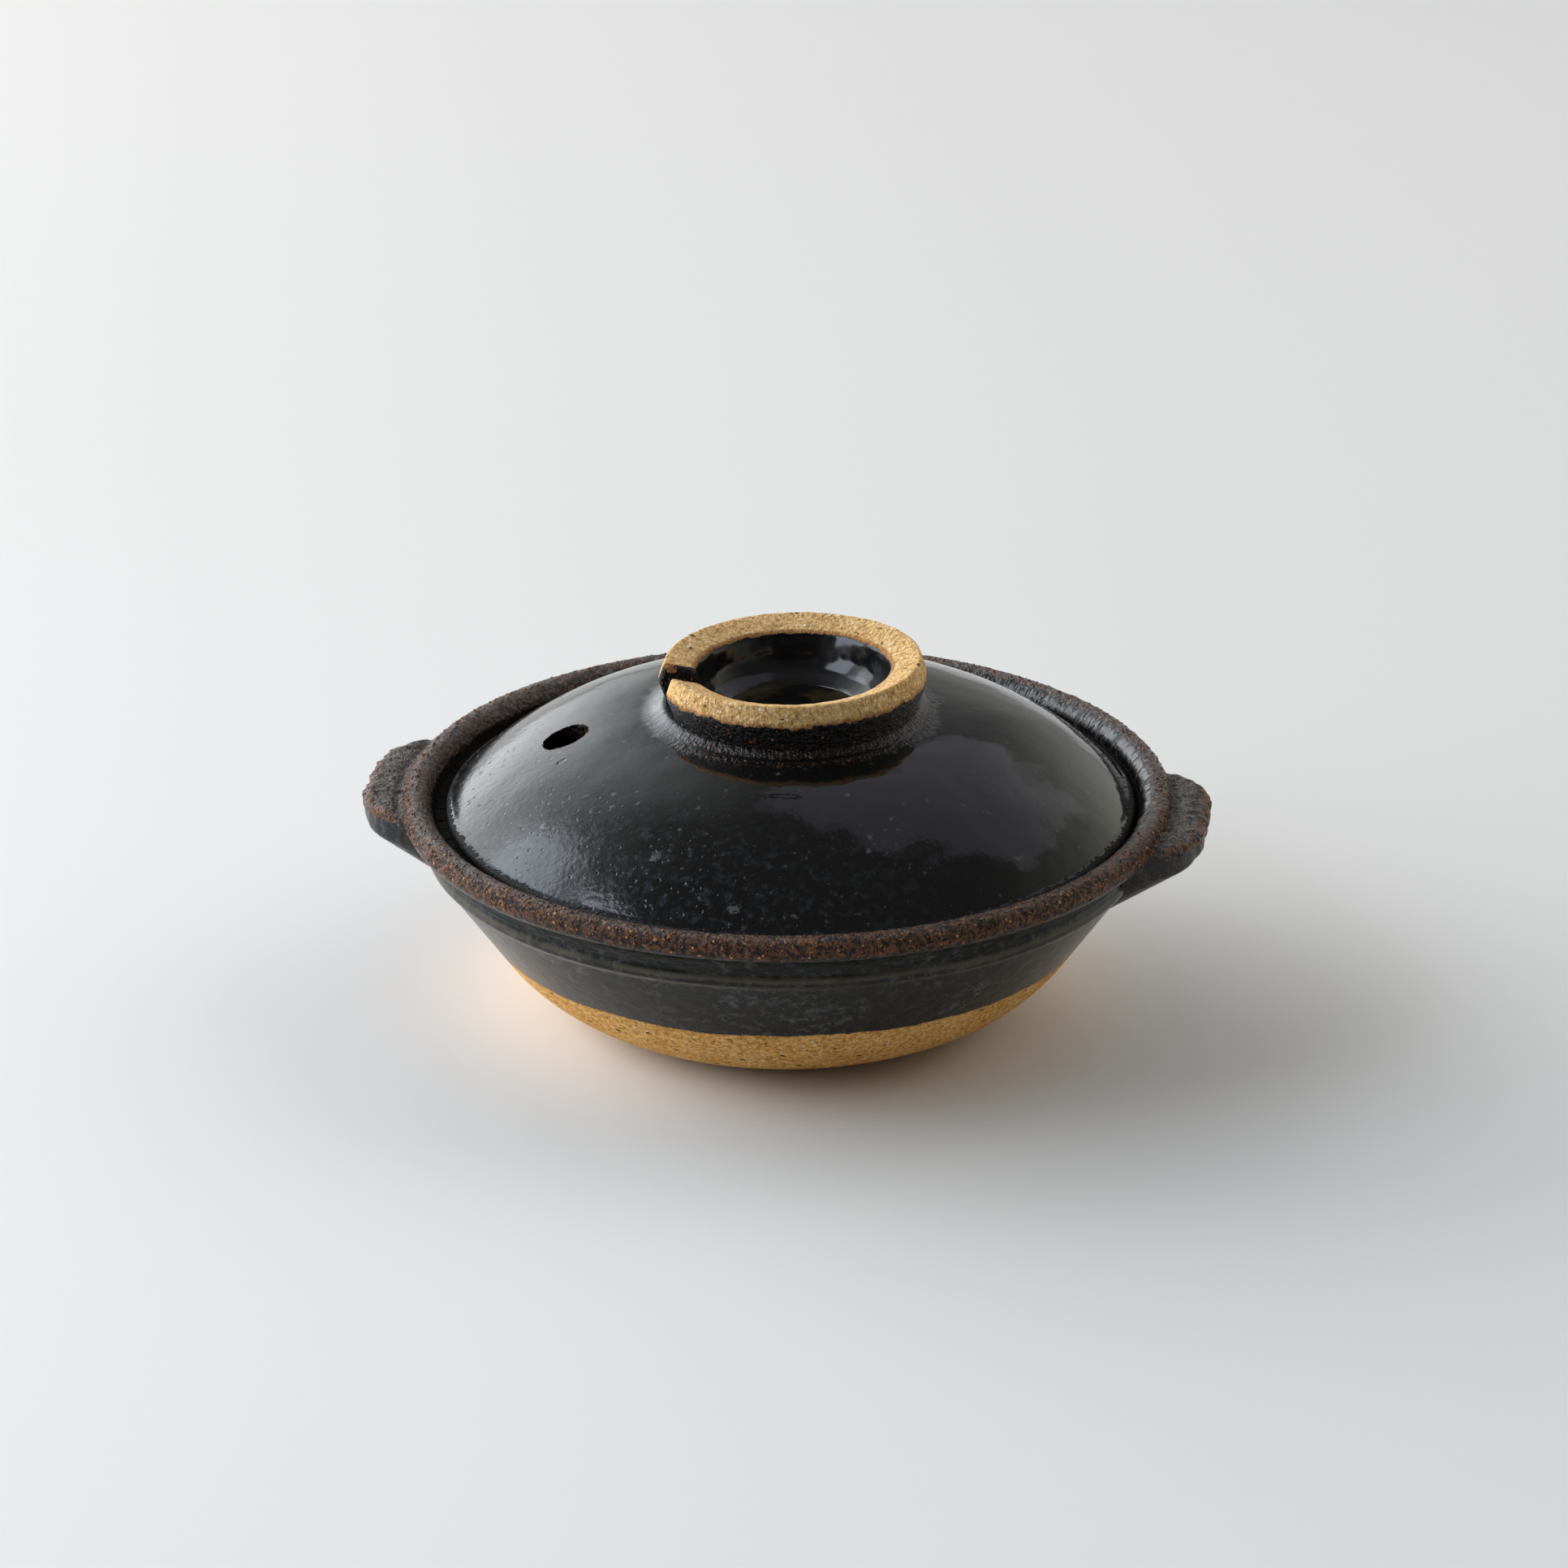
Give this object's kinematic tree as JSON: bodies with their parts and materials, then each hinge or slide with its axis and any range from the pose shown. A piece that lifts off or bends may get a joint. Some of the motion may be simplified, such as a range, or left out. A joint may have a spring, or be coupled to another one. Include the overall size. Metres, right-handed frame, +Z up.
{
  "type": "donabe clay pot",
  "caption": "Shallow stoneware cooking pot with two side lugs and a loose domed lid that has a notched ring knob and a steam hole.",
  "frame": {"origin": "centre of the pot's flat base, on the surface that it stands on", "axes": "+Z up along the pot's axis, +X through the right lug, -Y towards the side that the picture shows"},
  "size_m": [0.2, 0.182, 0.0844],
  "materials": {
    "dark_glaze_body": "satin",
    "iron_glaze_lug": "rough",
    "gloss_black_glaze": "gloss",
    "bare_clay_knob": "rough"
  },
  "bodies": {
    "pot": {"pot_body": "dark_glaze_body", "left_lug": "iron_glaze_lug", "right_lug": "iron_glaze_lug"},
    "lid": {"lid_dome": "gloss_black_glaze", "knob_ring": "bare_clay_knob"}
  },
  "joints": [
    {"name": "lid_lift", "type": "slide", "parent": "pot", "child": "lid", "axis": [0, 0, 1], "range_m": [0, 0.12]}
  ]
}
